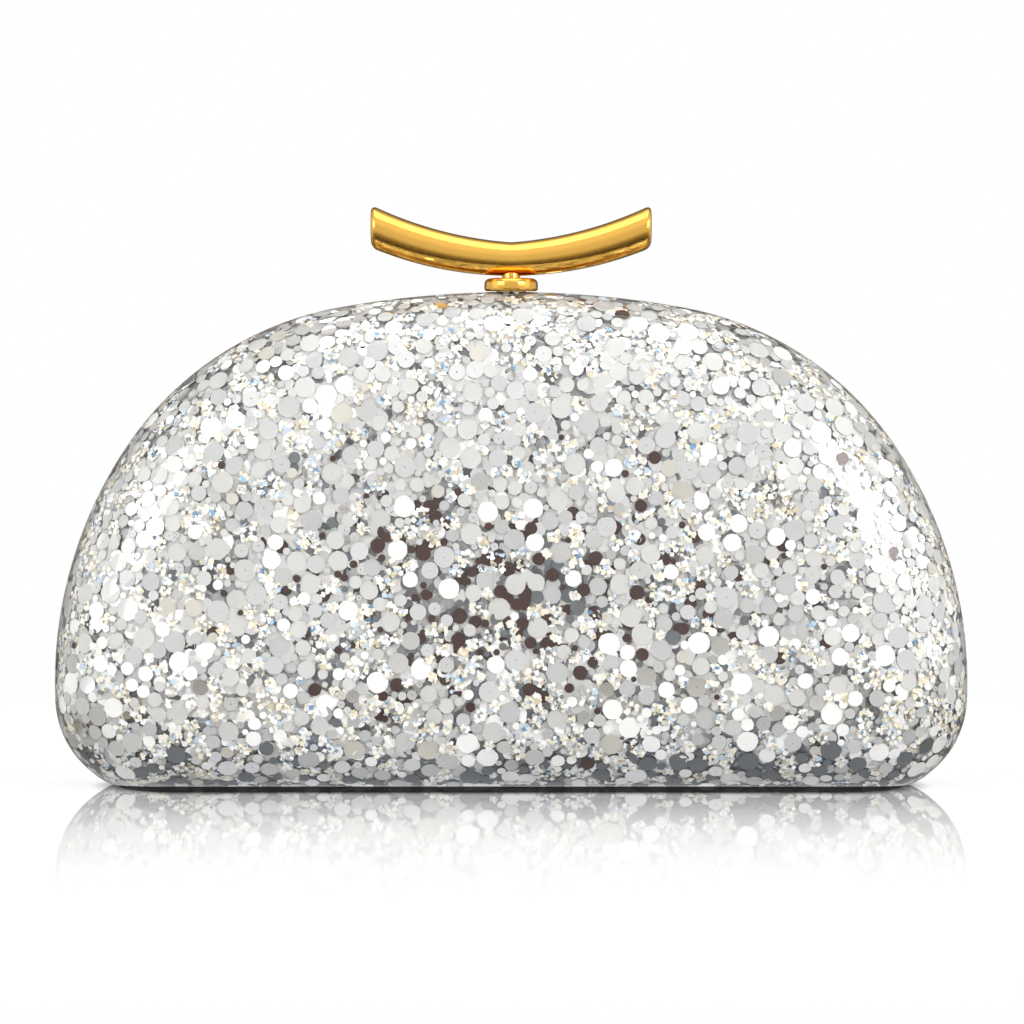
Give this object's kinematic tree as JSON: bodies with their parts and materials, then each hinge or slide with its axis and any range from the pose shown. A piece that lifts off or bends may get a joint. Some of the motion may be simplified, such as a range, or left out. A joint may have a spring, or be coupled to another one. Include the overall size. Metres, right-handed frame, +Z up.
{
  "type": "box clutch purse",
  "caption": "Half-moon hard-shell clutch purse in glitter resin, hinged along the base, with a gold turn bar that releases its catch.",
  "frame": {"origin": "centre of the box's underside, where the bag rests", "axes": "+X across the width, -Y towards the front face, +Z up"},
  "size_m": [0.2096, 0.046, 0.1329],
  "materials": {
    "glitter_resin": "clear cast resin over silver glitter",
    "gold_plate": "polished gold plate",
    "gold_frame": "polished gold plate",
    "brass_parts": "turned brass",
    "steel_parts": "brushed",
    "spring_steel": "rolled strip",
    "lining_satin": "champagne satin over card"
  },
  "bodies": {
    "back": {"back_shell": "glitter_resin", "back_frame": "gold_frame", "back_lining": "lining_satin", "back_hinge_leaf": "gold_frame", "back_hinge_rivets": "brass_parts", "hinge_pin": "steel_parts", "clasp_base": "gold_plate", "clasp_bridge": "gold_frame", "bridge_screws": "brass_parts", "stem_bushing": "brass_parts", "bushing_nut": "steel_parts", "catch_spring": "spring_steel", "catch_rivets": "brass_parts"},
    "front": {"front_shell": "glitter_resin", "front_frame": "gold_frame", "front_lining": "lining_satin", "front_hinge_leaf": "gold_frame", "front_hinge_rivets": "brass_parts", "keeper": "steel_parts", "keeper_rivets": "brass_parts"},
    "turn_bar": {"turn_bar": "gold_plate", "stem": "gold_plate", "stem_washer": "steel_parts", "release_cam": "brass_parts", "cam_screw": "steel_parts"}
  },
  "joints": [
    {"name": "front_open", "type": "hinge", "parent": "back", "child": "front", "pos_m": [0, 0, 0.0026], "axis": [1, 0, 0], "range_deg": [0, 60], "deforming": ["catch_spring"]},
    {"name": "bar_turn", "type": "hinge", "parent": "back", "child": "turn_bar", "pos_m": [0, 0, 0.11], "axis": [0, 0, 1], "range_deg": [0, 90], "deforming": ["catch_spring"]}
  ]
}
